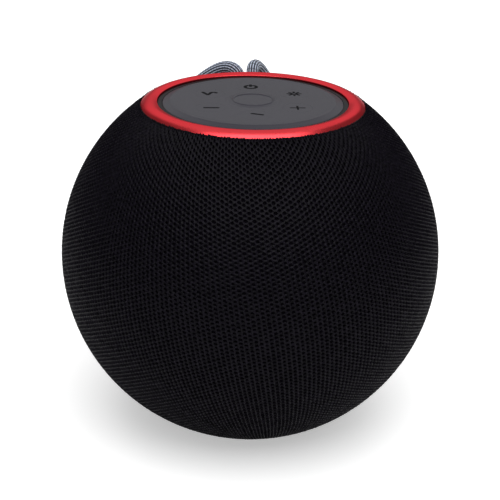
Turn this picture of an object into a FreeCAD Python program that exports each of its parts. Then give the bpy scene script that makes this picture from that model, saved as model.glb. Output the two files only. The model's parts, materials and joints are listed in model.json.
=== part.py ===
import FreeCAD, Part
import math
import os
import re
import Sketcher

# Ball-shaped smart speaker. Millimetres, +Z up, front towards -Y, origin under the ball on the surface
# that the foot stands on. Heights in the formulas are counted from the ball's centre.

sizes = {
    "ball_radius": 60, "fabric_wall": 1.4, "skin_gap": 0.25, "shell_wall": 2.2,
    "base_radius": 24.2, "foot_margin": 2.2, "foot_thickness": 1.6, "foot_edge": 0.5,
    "cap_thickness": 2.5, "floor_thickness": 2.4, "edge_gap": 0.15, "fit_gap": 0.1,
    "base_screw_circle": 16, "base_head_radius": 2.2, "base_head_depth": 1.35, "screw_radius": 1.2,
    "screw_clearance": 0.05,
    "ring_gap": 1.6, "ring_width": 5.1, "ring_proud": 1.1, "ring_depth": 2.6, "ring_fall": 1,
    "ring_crown": 8, "ring_edge": 0.25, "guide_sink": 0.7, "guide_gap": 0.06, "guide_leg_radius": 0.55,
    "guide_leg_length": 2.4,
    "pad_radius": 27.9, "pad_thickness": 1.8, "pad_sink": 0.1, "pad_edge": 0.8,
    "key_circle": 15.25, "key_radius": 4.6, "centre_key_radius": 8.4, "centre_disc_radius": 6.05,
    "centre_slope": 1.65, "centre_disc_rise": 0.5, "key_clearance": 0.05, "key_travel": 0.35,
    "stem_radius": 1.5, "stem_length": 2.8, "stem_clearance": 0.1,
    "deck_rim": 1.5, "deck_post_radius": 2, "board_margin": 2.5, "board_thickness": 1.2,
    "switch_side": 4.5, "switch_gap": 0.05, "led_side": 1.6, "led_height": 0.7,
    "ledge_width": 3.4, "ledge_thickness": 2.5,
    "slot_width": 5, "upper_slot_low": 32, "upper_slot_high": 38.6, "lower_slot_high": 28,
    "lower_slot_low": 45.5,
    "baffle_drop": 19.5, "baffle_thickness": 3, "seal_thickness": 0.8, "seal_inner": 48.2, "seal_outer": 52,
    "flange_radius": 44.5, "flange_thickness": 3, "shell_screw_margin": 2.1,
    "driver_radius": 30, "driver_flange": 1.8, "driver_hole": 24.6, "cone_radius": 18.8, "coil_radius": 6.85,
    "magnet_radius": 18, "magnet_height": 8, "plate_height": 3.5, "coil_gap": 0.65, "basket_depth": 16.5,
    "radiator_height": 28, "radiator_margin": 0.45, "radiator_opening": 30, "radiator_plate_radius": 24,
    "radiator_frame_height": 2.5, "radiator_ledge_radius": 43.5,
    "chassis_height": 2, "chassis_opening": 19.5, "chassis_radius": 50, "chassis_post_circle": 40,
    "cell_radius": 9.2, "cell_length": 65, "holder_wall": 1.1, "cell_gap": 0.1,
    "port_drop": 32, "port_half_width": 10, "port_half_height": 6.1, "window_half_width": 7.6,
    "window_half_height": 4.6, "window_swing": 0.5, "port_floor": 41.5, "port_floor_wall": 3,
    "hinge_rise": 3, "hinge_barrel": 1.3, "hinge_sink": 1.56, "flap_wall": 1.6, "flap_gap": 0.15,
    "flap_skirt": 1.5, "pin_radius": 0.5, "pin_clearance": 0.05, "pin_wall": 0.8, "socket_rise": 1,
    "cord_radius": 2, "cord_spacing": 4.6, "anchor_margin": 4.9, "lead_radius": 0.75,
}

doc = FreeCAD.newDocument("smart_speaker")
sheet = doc.addObject("Spreadsheet::Sheet", "Dims")
for row, (name, number) in enumerate(sizes.items(), 1):
    sheet.set("A%d" % row, name)
    sheet.set("B%d" % row, str(number))
    sheet.setAlias("B%d" % row, name)
doc.recompute()

word = re.compile(r"[a-z_]{3,}")
pieces = {}


def formula(text):
    """Writes every size name in a formula as a reference to its cell."""
    return word.sub(lambda found: "Dims." + found[0] if found[0] in sizes else found[0], str(text))


def value(text):
    """The number that a formula gives now."""
    return float(sheet.evalExpression(formula(text)))


def bind(target, **formulas):
    """Binds properties of an object to formulas; a double underscore stands for a dot."""
    for name, text in formulas.items():
        target.setExpression(name.replace("__", "."), formula(text))


def circle_at(radius, height):
    """How far a circle of this radius reaches sideways at a height from its centre."""
    return "sqrt((%s)^2 - (%s)^2)" % (radius, height)


def cos_sin(radius, degrees):
    """Formulas of the point at this angle on a circle round the axis."""
    return ("(%s) * cos(%gdeg)" % (radius, degrees), "(%s) * sin(%gdeg)" % (radius, degrees))


# ---- heights and radii that follow from the driving sizes, counted from the ball's centre ----
ring_inner = "(pad_radius + ring_gap)"
ring_outer = "(pad_radius + ring_gap + ring_width)"
centre = "(%s + foot_thickness)" % circle_at("ball_radius", "base_radius")
base_low = "(0 - %s)" % circle_at("ball_radius", "base_radius")
shell_out = "(ball_radius - fabric_wall - skin_gap)"
shell_in = "(ball_radius - fabric_wall - skin_gap - shell_wall)"
collar = "(%s + edge_gap)" % ring_outer
ring_top = "(%s + ring_proud)" % circle_at("ball_radius", ring_outer)
ring_low = "(%s - ring_depth)" % ring_top
pad_top = "(%s - pad_sink)" % ring_top
pad_low = "(%s - pad_thickness)" % pad_top
deck_low = "(%s - deck_rim)" % ring_low
stem_low = "(%s - stem_length)" % pad_low
switch_top = "(%s - key_travel - switch_gap)" % stem_low
board_top = "(%s - guide_leg_length - led_height - 0.1)" % ring_low
ledge_low = "(%s - ledge_thickness)" % deck_low
baffle_top = "(0 - baffle_drop)"
baffle_low = "(0 - baffle_drop - baffle_thickness)"
seal_top = "(%s + seal_thickness)" % baffle_top
floor_low = "(%s + cap_thickness)" % base_low
floor_top = "(%s + floor_thickness)" % floor_low
hinge_height = "(0 - port_drop - hinge_rise)"
hinge_setback = circle_at("(ball_radius - hinge_sink)", hinge_height)
chassis_top = "0"
board_height = "3"
foot_radius = "(base_radius - foot_margin)"
guide_circle = "(pad_radius + ring_gap / 2)"
deck_screw_circle = "(%s - ledge_width / 2)" % ring_outer
ledge_radius = "(%s - ledge_width)" % ring_outer
board_radius = "(%s - ledge_width - board_margin)" % ring_outer
deck_post_circle = "(pad_radius - ledge_width)"
shell_screw_circle = "(flange_radius + shell_screw_margin)"
driver_screw_circle = "(driver_radius - 2.5)"
radiator_radius = "(%s - radiator_margin)" % circle_at(shell_in, "radiator_height")
radiator_screw_circle = "(radiator_ledge_radius + 2.4)"
cell_setback = "(magnet_radius + cell_radius + cell_gap + 2 * holder_wall)"
cell_height = "(%s + cell_radius + cell_gap + 1.3)" % chassis_top
anchor_setback = "(%s + anchor_margin)" % ring_outer
clamp_top = "(%s - 1.6)" % circle_at(shell_in, "(%s + 3)" % anchor_setback)
screw_hole = "(screw_radius + screw_clearance)"
charge_lead_place = ("6", "31.5")


# ---- ways of making pieces ----
def keep(shape_object, label):
    """Takes an object as a finished piece."""
    shape_object.Label = label
    pieces[label] = shape_object
    return shape_object


def origin_part(body, role):
    return next(part for part in body.Origin.OriginFeatures if part.Role == role)


def sketch_on(body, role, lift=None):
    """A sketch on one of the body's own planes, raised by lift along the plane's normal."""
    sketch = body.newObject("Sketcher::SketchObject", body.Name + "_sketch")
    sketch.AttachmentSupport = [(origin_part(body, role), "")]
    sketch.MapMode = "FlatFace"
    if lift is not None:
        bind(sketch, AttachmentOffset__Base__z=lift)
    return sketch


def edge(start, end, bulge):
    """A line, or an arc of radius |bulge| turning left (+) or right (-), and whether it runs backwards."""
    if not bulge:
        return Part.LineSegment(start, end), False
    chord = end - start
    reach = math.sqrt(max(bulge ** 2 - chord.Length ** 2 / 4, 0))
    left = FreeCAD.Vector(-chord.y, chord.x, 0).normalize()
    middle = (start + end) * 0.5 + left * math.copysign(reach, bulge)
    circle = Part.Circle(middle, FreeCAD.Vector(0, 0, 1), abs(bulge))
    first, last = (start, end) if bulge > 0 else (end, start)
    return Part.ArcOfCircle(circle, circle.parameter(first), circle.parameter(last)), bulge < 0


def draw(sketch, outline):
    """A closed outline. Each corner is (across, up), or (across, up, side, radius) where an arc leaves it."""
    corners = [FreeCAD.Vector(value(corner[0]), value(corner[1]), 0) for corner in outline]
    edges = []
    for number, corner in enumerate(outline):
        bulge = corner[2] * value(corner[3]) if len(corner) > 2 else 0
        curve, turned_round = edge(corners[number], corners[(number + 1) % len(corners)], bulge)
        index = sketch.addGeometry(curve, False)
        edges.append((index, 2, 1) if turned_round else (index, 1, 2))
    for number, (index, start, end) in enumerate(edges):
        following = edges[(number + 1) % len(edges)]
        sketch.addConstraint(Sketcher.Constraint("Coincident", index, end, following[0], following[1]))
    for (index, start, end), corner, place in zip(edges, outline, corners):
        limit(sketch, corner[0], "DistanceX", -1, 1, index, start, place.x)
        limit(sketch, corner[1], "DistanceY", -1, 1, index, start, place.y)
        if len(corner) > 2:
            limit(sketch, corner[3], "Radius", index, value(corner[3]))


def limit(sketch, text, *constraint):
    """A constraint whose value follows a formula."""
    index = sketch.addConstraint(Sketcher.Constraint(*constraint))
    sketch.setExpression("Constraints[%d]" % index, formula(text))


def turn(body, outline, axis_at=None):
    """Turns an outline of (radius, height) round the vertical axis, or round an axis beside it."""
    sketch = sketch_on(body, "XZ_Plane")
    draw(sketch, [("%s + %s" % (axis_at or 0, corner[0]),) + tuple(corner[1:]) for corner in outline])
    axis = "V_Axis"
    if axis_at:
        across = value(axis_at)
        upright = Part.LineSegment(FreeCAD.Vector(across, -100, 0), FreeCAD.Vector(across, 100, 0))
        line = sketch.addGeometry(upright, True)
        sketch.addConstraint(Sketcher.Constraint("Vertical", line))
        limit(sketch, axis_at, "DistanceX", -1, 1, line, 1, across)
        axis = "Axis0"
    feature = body.newObject("PartDesign::Revolution", body.Name + "_turn")
    feature.Profile = sketch
    feature.ReferenceAxis = (sketch, [axis])
    feature.Angle = 360
    return feature


def new_body(name, across="0", back="0"):
    """An empty body whose own origin is the ball's centre, or a point beside it."""
    body = doc.addObject("PartDesign::Body", name)
    bind(body, Placement__Base__x=across, Placement__Base__y=back, Placement__Base__z=centre)
    return body


def turned(name, outline, across="0", back="0"):
    body = new_body(name, across, back)
    turn(body, outline)
    return body


def around(body, feature, count, spread=360, reverse=False):
    """Repeats a feature round the vertical axis."""
    pattern = body.newObject("PartDesign::PolarPattern", body.Name + "_pattern")
    pattern.Originals = [feature]
    pattern.Axis = (origin_part(body, "Z_Axis"), [""])
    pattern.Angle = spread
    pattern.Occurrences = count
    pattern.Reversed = reverse
    body.Tip = pattern
    return pattern


def turned_group(name, outline, axis_at, count):
    """Equal small turned pieces, evenly spaced on a circle."""
    body = new_body(name)
    around(body, turn(body, outline, axis_at), count)
    return body


def draw_circles(sketch, circles):
    """Circles given as (across, up, radius)."""
    for across, up, radius in circles:
        middle = FreeCAD.Vector(value(across), value(up), 0)
        index = sketch.addGeometry(Part.Circle(middle, FreeCAD.Vector(0, 0, 1), value(radius)), False)
        limit(sketch, across, "DistanceX", -1, 1, index, 3, middle.x)
        limit(sketch, up, "DistanceY", -1, 1, index, 3, middle.y)
        limit(sketch, radius, "Radius", index, value(radius))


def sink(body, circles, top, depth):
    """Round pockets that go down from a height. The cut has to take material away."""
    sketch = sketch_on(body, "XY_Plane", top)
    draw_circles(sketch, circles)
    doc.recompute()
    before = body.Shape.Volume
    pocket = body.newObject("PartDesign::Pocket", body.Name + "_pocket")
    pocket.Profile = sketch
    bind(pocket, Length=depth)
    doc.recompute()
    assert body.Shape.Volume < before, body.Name + " pocket cuts nothing"
    return pocket


def raise_posts(body, circles, low, height):
    """Round posts that go up from a height."""
    sketch = sketch_on(body, "XY_Plane", low)
    draw_circles(sketch, circles)
    pad = body.newObject("PartDesign::Pad", body.Name + "_pad")
    pad.Profile = sketch
    bind(pad, Length=height)
    return pad


def rectangle(half_width, low, high):
    left = "0 - (%s)" % half_width
    return [(left, low), (half_width, low), (half_width, high), (left, high)]


def slots(body, half_width, low, high, each_side, spread):
    """Slots through the wall, from the front round both sides, which leaves the back closed."""
    sketch = sketch_on(body, "XZ_Plane")
    draw(sketch, rectangle(half_width, low, high))
    doc.recompute()
    before = body.Shape.Volume
    pocket = body.newObject("PartDesign::Pocket", body.Name + "_slot")
    pocket.Profile = sketch
    pocket.Type = "ThroughAll"
    pocket.Reversed = True
    doc.recompute()
    assert body.Shape.Volume < before, body.Name + " slot cuts nothing"
    around(body, pocket, each_side, spread)
    around(body, pocket, each_side, spread, True)


def box(name, across, back, up):
    """A box between two places on each axis; up is counted from the ball's centre."""
    block = doc.addObject("Part::Box", name)
    bind(block, Length="(%s) - (%s)" % (across[1], across[0]), Width="(%s) - (%s)" % (back[1], back[0]),
         Height="(%s) - (%s)" % (up[1], up[0]), Placement__Base__x=across[0], Placement__Base__y=back[0],
         Placement__Base__z="%s + (%s)" % (centre, up[0]))
    return block


def wide_box(name, half_width, back, up):
    return box(name, ("0 - (%s)" % half_width, half_width), back, up)


def rod(name, radius, across, back, up):
    """A round rod along X from across[0] to across[1]."""
    bar = doc.addObject("Part::Cylinder", name)
    bar.Placement.Rotation = FreeCAD.Rotation(FreeCAD.Vector(0, 1, 0), 90)
    bind(bar, Radius=radius, Height="(%s) - (%s)" % (across[1], across[0]), Placement__Base__x=across[0],
         Placement__Base__y=back, Placement__Base__z="%s + (%s)" % (centre, up))
    return bar


def post(name, radius, across, back, up):
    """A round upright between two heights."""
    bar = doc.addObject("Part::Cylinder", name)
    bind(bar, Radius=radius, Height="(%s) - (%s)" % (up[1], up[0]), Placement__Base__x=across,
         Placement__Base__y=back, Placement__Base__z="%s + (%s)" % (centre, up[0]))
    return bar


def ball(name, radius):
    sphere = doc.addObject("Part::Sphere", name)
    bind(sphere, Radius=radius, Placement__Base__z=centre)
    return sphere


def cut(name, base, *tools):
    for number, tool in enumerate(tools, 1):
        result = doc.addObject("Part::Cut", "%s_cut_%d" % (name, number))
        result.Base = base
        result.Tool = tool
        base = result
    return base


def join(name, *shapes):
    result = doc.addObject("Part::MultiFuse", name + "_joined")
    result.Shapes = list(shapes)
    return result


def overlap(name, first, second):
    result = doc.addObject("Part::Common", name + "_common")
    result.Base = first
    result.Tool = second
    return result


def group(name, *shapes):
    result = doc.addObject("Part::Compound", name + "_group")
    result.Links = list(shapes)
    return result


def screw_outline(head_radius, head_low, head_high, shank_radius, tip):
    """Half a screw; the tip may be above or below its head."""
    if value(tip) < value(head_low):
        return [("0", tip), (shank_radius, tip), (shank_radius, head_low), (head_radius, head_low),
                (head_radius, head_high), ("0", head_high)]
    return [("0", head_low), (head_radius, head_low), (head_radius, head_high), (shank_radius, head_high),
            (shank_radius, tip), ("0", tip)]


# ---- outer skin, ring and foot ----
def make_outside():
    inner = "(ball_radius - fabric_wall)"
    hem = "(base_radius + edge_gap)"
    skin = turned("fabric_turned", [
        (hem, "0 - %s" % circle_at("ball_radius", hem), 1, "ball_radius"),
        (collar, circle_at("ball_radius", collar)),
        (collar, circle_at(inner, collar), -1, inner),
        (hem, "0 - %s" % circle_at(inner, hem))])
    windows = port_tool("fabric_port", "edge_gap"), anchor_tool("fabric_anchor", "edge_gap")
    keep(cut("fabric", skin, *windows), "fabric_sleeve")

    # the ring is flat inside and falls away to the skin on an arc that starts level
    crown_start = "(%s - sqrt(2 * ring_crown * ring_fall - ring_fall ^ 2))" % ring_outer
    keep(turned("ring_turned", [
        (ring_inner, ring_low), (ring_outer, ring_low),
        (ring_outer, "%s - ring_fall" % ring_top, 1, "ring_crown"),
        (crown_start, ring_top), ("%s + ring_edge" % ring_inner, ring_top, 1, "ring_edge"),
        (ring_inner, "%s - ring_edge" % ring_top)]), "trim_ring")

    cap = turned("cap_turned", [("0", base_low), ("base_radius", base_low), ("base_radius", floor_low),
                                ("0", floor_low)])
    head_depth = "base_head_depth + screw_clearance"
    heads = sink(cap, [("base_screw_circle", "0", "base_head_radius + fit_gap")],
                 base_low + " + " + head_depth, head_depth)
    around(cap, heads, 4)
    shanks = sink(cap, [("base_screw_circle", "0", screw_hole)], floor_low, "cap_thickness")
    around(cap, shanks, 4)
    keep(cap, "base_cap")
    screw = screw_outline("base_head_radius", base_low, base_low + " + base_head_depth", "screw_radius",
                          "%s - 0.5" % floor_top)
    keep(turned_group("base_screw", screw, "base_screw_circle", 4), "base_screws")
    bottom = "(0 - %s)" % centre
    keep(turned("foot_turned", [
        ("0", bottom), ("%s - foot_edge" % foot_radius, bottom, 1, "foot_edge"),
        (foot_radius, "%s + foot_edge" % bottom), (foot_radius, base_low), ("0", base_low)]), "foot_pad")


# ---- shells ----
def make_shells():
    ledge = "(radiator_height + 2.5)"
    upper = turned("upper_turned", [
        (circle_at(shell_out, seal_top), seal_top, 1, shell_out),
        (collar, circle_at(shell_out, collar)), (collar, deck_low), (ledge_radius, deck_low),
        (ledge_radius, ledge_low), (circle_at(shell_in, ledge_low), ledge_low, -1, shell_in),
        (circle_at(shell_in, ledge), ledge), ("radiator_ledge_radius", ledge),
        ("radiator_ledge_radius", "radiator_height"),
        (circle_at(shell_in, "radiator_height"), "radiator_height", -1, shell_in),
        (circle_at(shell_in, "%s + flange_thickness" % seal_top), "%s + flange_thickness" % seal_top),
        ("flange_radius", "%s + flange_thickness" % seal_top), ("flange_radius", seal_top)])
    slots(upper, "slot_width / 2", "upper_slot_low", "upper_slot_high", 13, 150)
    around(upper, sink(upper, [(deck_screw_circle, "0", "0.85")], deck_low, "ledge_thickness"), 3)
    around(upper, sink(upper, [(shell_screw_circle, "0", screw_hole)], "%s + flange_thickness" % seal_top,
                       "flange_thickness"), 6)
    around(upper, sink(upper, [(radiator_screw_circle, "0", "1.05")], "radiator_height + 2", "2"), 6)
    keep(cut("upper", upper, anchor_tool("upper_anchor", "fit_gap")), "upper_shell")

    flange_low = "(%s - flange_thickness)" % baffle_low
    lower = turned("lower_turned", [
        ("0", floor_low), (circle_at(shell_out, floor_low), floor_low, 1, shell_out),
        (circle_at(shell_out, baffle_low), baffle_low), ("flange_radius", baffle_low),
        ("flange_radius", flange_low),
        (circle_at(shell_in, flange_low), flange_low, -1, shell_in),
        (circle_at(shell_in, floor_top), floor_top), ("0", floor_top)])
    slots(lower, "slot_width / 2", "0 - lower_slot_low", "0 - lower_slot_high", 13, 150)
    around(lower, sink(lower, [("base_screw_circle", "0", screw_hole)], "%s - 0.4" % floor_top,
                       "floor_thickness - 0.4"), 4)
    around(lower, sink(lower, [(shell_screw_circle, "0", screw_hole)], baffle_low, "flange_thickness"), 6)
    keep(cut("lower", lower, port_tool("lower_port", "fit_gap")), "lower_shell")

    keep(turned("seal_turned", [("seal_inner", baffle_top), ("seal_outer", baffle_top),
                                ("seal_outer", seal_top), ("seal_inner", seal_top)]), "chamber_seal")
    screw = screw_outline("2", "%s - 1.4" % flange_low, flange_low, "screw_radius", "%s + 2.5" % seal_top)
    keep(turned_group("shell_screw", screw, shell_screw_circle, 6), "shell_screws")

    baffle_radius = "(%s - 0.2)" % circle_at(shell_out, baffle_low)
    baffle = turned("baffle_turned", [("driver_hole", baffle_low), (baffle_radius, baffle_low),
                                      (baffle_radius, baffle_top), ("driver_hole", baffle_top)])
    around(baffle, sink(baffle, [(shell_screw_circle, "0", screw_hole)], baffle_top, "baffle_thickness"), 6)
    around(baffle, sink(baffle, [(driver_screw_circle, "0", "0.95")], "%s + 2.2" % baffle_low, "2.2"), 4)
    sink(baffle, [charge_lead_place + ("lead_radius",)], baffle_top, "baffle_thickness")
    keep(baffle, "baffle_plate")


# ---- control unit on top ----
key_angles = {"power": 90, "light": 30, "volume_up": -30, "play": -90, "volume_down": -150, "link": 150}


def make_controls():
    places = [cos_sin("key_circle", angle) for angle in key_angles.values()]
    openings = [place + ("key_radius + key_clearance",) for place in places]
    openings.append(("0", "0", "centre_key_radius + key_clearance"))
    pad = turned("pad_turned", [
        ("0", pad_low), ("pad_radius", pad_low), ("pad_radius", "%s - pad_edge" % pad_top, 1, "pad_edge"),
        ("pad_radius - pad_edge", pad_top), ("0", pad_top)])
    sink(pad, openings, pad_top, "pad_thickness")
    keep(pad, "control_pad")

    for name, angle in key_angles.items():
        across, back = cos_sin("key_circle", angle)
        keep(turned("key_%s_turned" % name, [
            ("0", stem_low), ("stem_radius", stem_low), ("stem_radius", pad_low), ("key_radius", pad_low),
            ("key_radius", pad_top), ("0", pad_top)], across, back), "key_" + name)
    keep(turned("key_centre_turned", [
        ("0", stem_low), ("stem_radius", stem_low), ("stem_radius", pad_low), ("centre_key_radius", pad_low),
        ("centre_key_radius", pad_top), ("centre_disc_radius + centre_slope", pad_top),
        ("centre_disc_radius", "%s + centre_disc_rise" % pad_top), ("0", "%s + centre_disc_rise" % pad_top)]),
         "key_centre")

    deck = turned("deck_turned", [
        ("0", deck_low), (ring_outer, deck_low), (ring_outer, ring_low), ("pad_radius", ring_low),
        ("pad_radius", pad_low), ("0", pad_low)])
    recesses = [place + ("key_radius + 0.3",) for place in places] + [("0", "0", "centre_key_radius + 0.3")]
    sink(deck, recesses, pad_low, "key_travel + 0.3")
    sink(deck, [place + ("stem_radius + stem_clearance",) for place in places + [("0", "0")]], pad_low,
         "%s - %s" % (pad_low, deck_low))
    around(deck, sink(deck, [(guide_circle, "0", "guide_leg_radius + 0.1")], ring_low, "deck_rim"), 12)
    around(deck, sink(deck, [(deck_screw_circle, "0", "1.5")], ring_low, "0.8"), 3)
    around(deck, sink(deck, [(deck_screw_circle, "0", "0.85")], ring_low, "deck_rim"), 3)
    around(deck, raise_posts(deck, [("0", deck_post_circle, "deck_post_radius")], board_top,
                             "%s - %s" % (deck_low, board_top)), 3)
    keep(deck, "control_deck")
    screw = screw_outline("1.4", ring_low + " - 0.75", ring_low + " - 0.02", "0.8", ledge_low + " + 0.5")
    keep(turned_group("deck_screw", screw, deck_screw_circle, 3), "deck_screws")

    guide_inner = "(pad_radius + guide_gap)"
    guide_outer = "(%s - guide_gap)" % ring_inner
    guide = turned("guide_turned", [
        (guide_inner, ring_low), (guide_outer, ring_low), (guide_outer, "%s - guide_sink" % ring_top),
        (guide_inner, "%s - guide_sink" % ring_top)])
    around(guide, raise_posts(guide, [(guide_circle, "0", "guide_leg_radius")],
                              "%s - guide_leg_length" % ring_low, "guide_leg_length + 0.5"), 12)
    keep(guide, "light_guide")

    board = turned("board_turned", [("0", "%s - board_thickness" % board_top),
                                    (board_radius, "%s - board_thickness" % board_top),
                                    (board_radius, board_top), ("0", board_top)])
    keep(board, "keypad_board")

    switches = new_body("switch_body")
    outer = sketch_on(switches, "XY_Plane", board_top)
    draw(outer, [("key_circle + " + across, up) for across, up in
                 rectangle("switch_side / 2", "0 - switch_side / 2", "switch_side / 2")])
    block = switches.newObject("PartDesign::Pad", "switch_pad")
    block.Profile = outer
    bind(block, Length="%s - %s" % (switch_top, board_top))
    around(switches, block, 6)
    middle = sketch_on(switches, "XY_Plane", board_top)
    draw(middle, rectangle("switch_side / 2", "0 - switch_side / 2", "switch_side / 2"))
    centre_block = switches.newObject("PartDesign::Pad", "switch_centre_pad")
    centre_block.Profile = middle
    bind(centre_block, Length="%s - %s" % (switch_top, board_top))
    switches.Placement.Rotation = FreeCAD.Rotation(FreeCAD.Vector(0, 0, 1), 30)
    keep(switches, "tact_switches")

    leds = new_body("led_body")
    led_sketch = sketch_on(leds, "XY_Plane", board_top)
    draw(led_sketch, [("%s - led_side / 2" % guide_circle, "0 - led_side / 2"),
                      ("%s + led_side / 4" % guide_circle, "0 - led_side / 2"),
                      ("%s + led_side / 4" % guide_circle, "led_side / 2"),
                      ("%s - led_side / 2" % guide_circle, "led_side / 2")])
    led = leds.newObject("PartDesign::Pad", "led_pad")
    led.Profile = led_sketch
    bind(led, Length="led_height")
    around(leds, led, 12)
    keep(leds, "ring_leds")

    microphones = [wide_box("microphone_front", "1.5", ("-26", "-23.5"), (board_top, "%s + 1" % board_top)),
                   wide_box("microphone_middle", "1.5", ("-10", "-7.5"), (board_top, "%s + 1" % board_top))]
    keep(group("microphone", *microphones), "microphones")


# ---- loudspeaker ----
def make_driver():
    flange_low = "(%s - driver_flange)" % baffle_low

    def above(height):
        return "(%s + %g)" % (flange_low, height)

    plate_low = "(%s + basket_depth)" % flange_low
    plate_top = "(%s + plate_height)" % plate_low
    magnet_top = "(%s + magnet_height)" % plate_top
    magnet_hole = "(coil_radius + 3.65)"
    basket = turned("basket_turned", [
        ("23.2", flange_low), ("driver_radius", flange_low), ("driver_radius", baffle_low),
        ("24.4", baffle_low), ("24.4", above(7.3)), ("18", above(12.7)), ("18", plate_low),
        (magnet_hole, plate_low), (magnet_hole, "%s - 1.2" % plate_low), ("16.8", "%s - 1.2" % plate_low),
        ("16.8", above(12.2)), ("23.2", above(6.8))])
    sketch = sketch_on(basket, "XZ_Plane")
    draw(sketch, rectangle("3.6", above(7.5), above(11.9)))
    window = basket.newObject("PartDesign::Pocket", "basket_window")
    window.Profile = sketch
    window.Type = "ThroughAll"
    window.Reversed = True
    around(basket, window, 6)
    around(basket, sink(basket, [(driver_screw_circle, "0", "0.95")], baffle_low, "driver_flange"), 4)
    keep(basket, "driver_basket")
    screw = screw_outline("1.6", "%s - 1.1" % flange_low, flange_low, "0.9", "%s + 2" % baffle_low)
    keep(turned_group("driver_screw", screw, driver_screw_circle, 4), "driver_screws")

    keep(turned("top_plate_turned", [
        ("coil_radius + coil_gap", plate_low), ("magnet_radius - 1", plate_low),
        ("magnet_radius - 1", plate_top), ("coil_radius + coil_gap", plate_top)]), "driver_top_plate")
    keep(turned("magnet_turned", [
        (magnet_hole, plate_top), ("magnet_radius", plate_top), ("magnet_radius", magnet_top),
        (magnet_hole, magnet_top)]), "driver_magnet")
    keep(turned("yoke_turned", [
        ("0", plate_low), ("coil_radius - coil_gap", plate_low), ("coil_radius - coil_gap", magnet_top),
        ("magnet_radius - 1", magnet_top), ("magnet_radius - 1", "%s + plate_height" % magnet_top),
        ("0", "%s + plate_height" % magnet_top)]), "driver_yoke")
    keep(turned("coil_turned", [
        ("coil_radius - 0.25", above(8.7)), ("coil_radius", above(8.7)), ("coil_radius", above(15.5)),
        ("coil_radius + 0.3", above(15.5)), ("coil_radius + 0.3", above(21)),
        ("coil_radius - 0.25", above(21))]), "voice_coil")

    neck = above(9.1)
    keep(turned("cone_turned", [
        ("coil_radius", neck), ("cone_radius - 1.4", flange_low), ("cone_radius", flange_low),
        ("cone_radius", "%s + 0.5" % flange_low), ("cone_radius - 1.1", "%s + 0.5" % flange_low),
        ("coil_radius", "%s + 0.6" % neck)]), "driver_cone")
    keep(turned("dust_cap_turned", [
        ("0", above(6.1), 1, "16.15"), ("coil_radius + 0.75", above(8)),
        ("coil_radius + 0.75", above(8.3), -1, "16.15"), ("0", above(6.4))]), "dust_cap")
    keep(turned("surround_turned", [
        ("17.6", flange_low), ("17.6", "%s - 0.5" % flange_low), ("18.9", "%s - 0.5" % flange_low, 1, "2.35"),
        ("23.1", "%s - 0.5" % flange_low), ("25", "%s - 0.5" % flange_low), ("25", flange_low),
        ("22.7", flange_low, -1, "1.95"), ("19.3", flange_low)]), "driver_surround")

    # a corrugated ring: each fold is 0.9 wide and 0.5 high
    spider_low, spider_wall = 12.8, 0.35
    waves = [("coil_radius + %g" % (0.9 * step + 0.4), spider_low + 0.5 * (step % 2)) for step in range(10)]
    lower_side = [(across, above(height)) for across, height in waves]
    upper_side = [(across, above(height + spider_wall)) for across, height in reversed(waves)]
    keep(turned("spider_turned", [("coil_radius", above(spider_low))] + lower_side +
                [("16.8", above(spider_low)), ("16.8", above(spider_low + spider_wall))] + upper_side +
                [("coil_radius", above(spider_low + spider_wall))]), "driver_spider")

    keep(turned("deflector_turned", [
        ("0", floor_top), ("21", floor_top), ("21", "%s + 2.5" % floor_top, -1, "34"), ("1.5", "-31.4"),
        ("0", "-31")]), "sound_deflector")


# ---- passive radiator ----
def make_radiator():
    top = "radiator_height"
    frame_low = "(radiator_height - radiator_frame_height)"
    frame = turned("radiator_turned", [("radiator_opening", frame_low), (radiator_radius, frame_low),
                                       (radiator_radius, top), ("radiator_opening", top)])
    around(frame, sink(frame, [(radiator_screw_circle, "0", "1.05")], top, "radiator_frame_height"), 6)
    slot = wide_box("ribbon_slot", "5.2", ("32.8", "33.5"), (frame_low + " - 1", "%s + 1" % top))
    keep(cut("radiator", frame, slot), "radiator_frame")
    plate = "radiator_plate_radius"
    keep(turned("radiator_plate_turned", [
        ("0", "%s - 1.5" % top), (plate, "%s - 1.5" % top), (plate, top), ("21.4", top),
        ("21.4", "%s + 0.5" % top), ("0", "%s + 0.5" % top)]), "radiator_plate")
    keep(turned("radiator_surround_turned", [
        ("21.5", top), (plate, top, -1, "3.2"), ("radiator_opening", top), ("32.5", top),
        ("32.5", "%s + 0.5" % top),
        ("radiator_opening + 0.4", "%s + 0.5" % top, 1, "3.6"), (plate + " - 0.4", "%s + 0.5" % top),
        ("21.5", "%s + 0.5" % top)]), "radiator_surround")
    screw = screw_outline("1.7", frame_low + " - 1.2", frame_low, "1", "%s + 1.8" % top)
    keep(turned_group("radiator_screw", screw, radiator_screw_circle, 6), "radiator_screws")


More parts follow.
